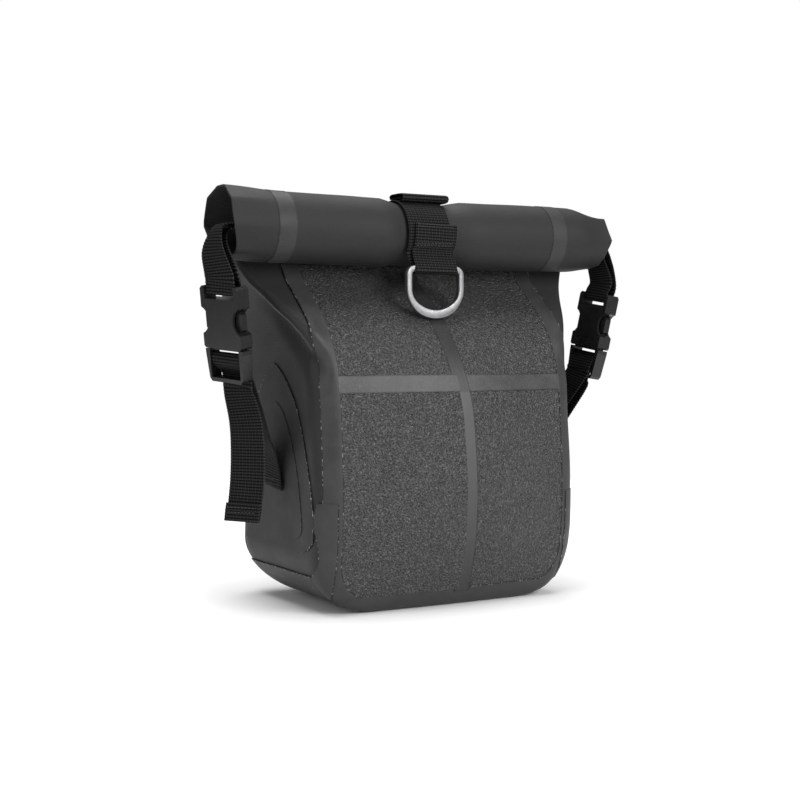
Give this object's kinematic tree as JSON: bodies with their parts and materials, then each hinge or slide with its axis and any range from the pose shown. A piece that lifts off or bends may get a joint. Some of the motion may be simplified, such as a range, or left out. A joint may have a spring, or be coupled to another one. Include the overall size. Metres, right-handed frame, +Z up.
{
  "type": "roll-top pannier bag",
  "caption": "Small roll-top bicycle pannier bag, closed, with side-release buckle straps, a strap with a D-ring and rack hooks on its back.",
  "frame": {"origin": "middle of the base's underside, where the bag stands", "axes": "+Z up, -Y towards the bag's front, +X towards the viewer's right when facing the front"},
  "size_m": [0.3663, 0.2012, 0.321],
  "materials": {
    "coated_fabric": "matt coated fabric",
    "textured_fabric": "pebbled coated fabric",
    "weld_tape": "smooth satin tape",
    "webbing": "ribbed woven webbing",
    "black_plastic": "satin moulded",
    "stiffener_board": "matt",
    "ring_metal": "satin nickel plated",
    "rail_alloy": "satin anodised",
    "screw_steel": "brushed"
  },
  "bodies": {
    "bag": {"front_panel": "coated_fabric", "back_panel": "coated_fabric", "side_panel_left": "coated_fabric", "side_panel_right": "coated_fabric", "base_boot": "coated_fabric", "front_patch_lower": "textured_fabric", "front_patch_upper": "textured_fabric", "cross_tape_left": "weld_tape", "cross_tape_right": "weld_tape", "centre_tape": "weld_tape", "edge_tape_left": "weld_tape", "edge_tape_right": "weld_tape", "side_patch_left": "coated_fabric", "side_patch_right": "coated_fabric", "roll_top": "coated_fabric", "roll_tape_left": "weld_tape", "roll_tape_right": "weld_tape", "closure_strip_front": "stiffener_board", "closure_strip_back": "stiffener_board", "centre_strap": "webbing", "strap_keeper": "webbing", "end_loop_left": "webbing", "end_loop_right": "webbing", "lower_strap_left": "webbing", "lower_strap_right": "webbing", "buckle_female_left": "black_plastic", "buckle_female_right": "black_plastic", "buckle_male_left": "black_plastic", "buckle_male_right": "black_plastic", "back_board": "stiffener_board", "upper_rail": "rail_alloy", "lower_rail": "rail_alloy", "rail_screw_upper_left": "screw_steel", "rail_nut_upper_left": "black_plastic", "rail_screw_upper_right": "screw_steel", "rail_nut_upper_right": "black_plastic", "rail_screw_lower_left": "screw_steel", "rail_nut_lower_left": "black_plastic", "rail_screw_lower_right": "screw_steel", "rail_nut_lower_right": "black_plastic"},
    "ring": {"d_ring": "ring_metal"},
    "prong_front_left": {"prong_front_left": "black_plastic"},
    "prong_rear_left": {"prong_rear_left": "black_plastic"},
    "rack_hook_left": {"hook_left": "black_plastic", "hook_insert_left": "stiffener_board", "latch_pin_left": "screw_steel"},
    "latch_left": {"latch_left": "black_plastic"},
    "prong_front_right": {"prong_front_right": "black_plastic"},
    "prong_rear_right": {"prong_rear_right": "black_plastic"},
    "rack_hook_right": {"hook_right": "black_plastic", "hook_insert_right": "stiffener_board", "latch_pin_right": "screw_steel"},
    "latch_right": {"latch_right": "black_plastic"},
    "release": {"release_strap": "webbing", "release_grip": "black_plastic"},
    "lower_slider": {"lower_slider": "black_plastic"},
    "lower_hook": {"lower_hook": "black_plastic"},
    "lower_knob": {"lower_knob": "black_plastic"}
  },
  "joints": [
    {"name": "d_ring_swing", "type": "hinge", "parent": "bag", "child": "ring", "pos_m": [-0.004, -0.0565, 0.2595], "axis": [-1, 0, 0], "range_deg": [0, 150]},
    {"name": "prong_front_left_bend", "type": "hinge", "parent": "bag", "child": "prong_front_left", "pos_m": [-0.16175, -0.04378, 0.20096], "axis": [-0.9354, -0.3075, -0.1744], "range_deg": [0, 8], "stiffness_Nm_per_rad": 1.8},
    {"name": "prong_rear_left_bend", "type": "hinge", "parent": "bag", "child": "prong_rear_left", "pos_m": [-0.17025, -0.01908, 0.20302], "axis": [0.9354, 0.3075, 0.1744], "range_deg": [0, 8], "stiffness_Nm_per_rad": 1.8},
    {"name": "prong_front_right_bend", "type": "hinge", "parent": "bag", "child": "prong_front_right", "pos_m": [0.16554, -0.04441, 0.20033], "axis": [-0.9895, 0.0162, 0.1435], "range_deg": [0, 8], "stiffness_Nm_per_rad": 1.8},
    {"name": "prong_rear_right_bend", "type": "hinge", "parent": "bag", "child": "prong_rear_right", "pos_m": [0.16645, -0.01844, 0.20365], "axis": [0.9895, -0.0162, -0.1435], "range_deg": [0, 8], "stiffness_Nm_per_rad": 1.8},
    {"name": "rack_hook_left_slide", "type": "slide", "parent": "bag", "child": "rack_hook_left", "axis": [-1, 0, 0], "range_m": [-0.01, 0.009]},
    {"name": "rack_hook_right_slide", "type": "slide", "parent": "bag", "child": "rack_hook_right", "axis": [1, 0, 0], "range_m": [-0.01, 0.009]},
    {"name": "release_lift", "type": "slide", "parent": "bag", "child": "release", "axis": [0, 0, 1], "range_m": [0, 0.0076], "stiffness_N_per_m": 600},
    {"name": "latch_left_turn", "type": "hinge", "parent": "rack_hook_left", "child": "latch_left", "pos_m": [-0.05, 0.0883, 0.211], "axis": [-1, 0, 0], "range_deg": [0, 60]},
    {"name": "latch_right_turn", "type": "hinge", "parent": "rack_hook_right", "child": "latch_right", "pos_m": [0.05, 0.0883, 0.211], "axis": [-1, 0, 0], "range_deg": [0, 60]},
    {"name": "lower_hook_slide", "type": "slide", "parent": "bag", "child": "lower_slider", "axis": [1, 0, 0], "range_m": [-0.03, 0.03]},
    {"name": "lower_hook_swivel", "type": "hinge", "parent": "lower_slider", "child": "lower_hook", "pos_m": [0, 0.0886, 0.063], "axis": [0, 1, 0], "range_deg": [-90, 90]},
    {"name": "lower_knob_turn", "type": "hinge", "parent": "lower_slider", "child": "lower_knob", "pos_m": [0, 0.0956, 0.063], "axis": [0, 1, 0], "range_deg": [-180, 180]}
  ],
  "couplings": [
    {"joint": "prong_rear_left_bend", "follows": "prong_front_left_bend", "ratio": 1},
    {"joint": "prong_rear_right_bend", "follows": "prong_front_right_bend", "ratio": 1},
    {"joint": "latch_left_turn", "follows": "release_lift", "rad_per_m": 137.7},
    {"joint": "latch_right_turn", "follows": "release_lift", "rad_per_m": 137.7}
  ]
}
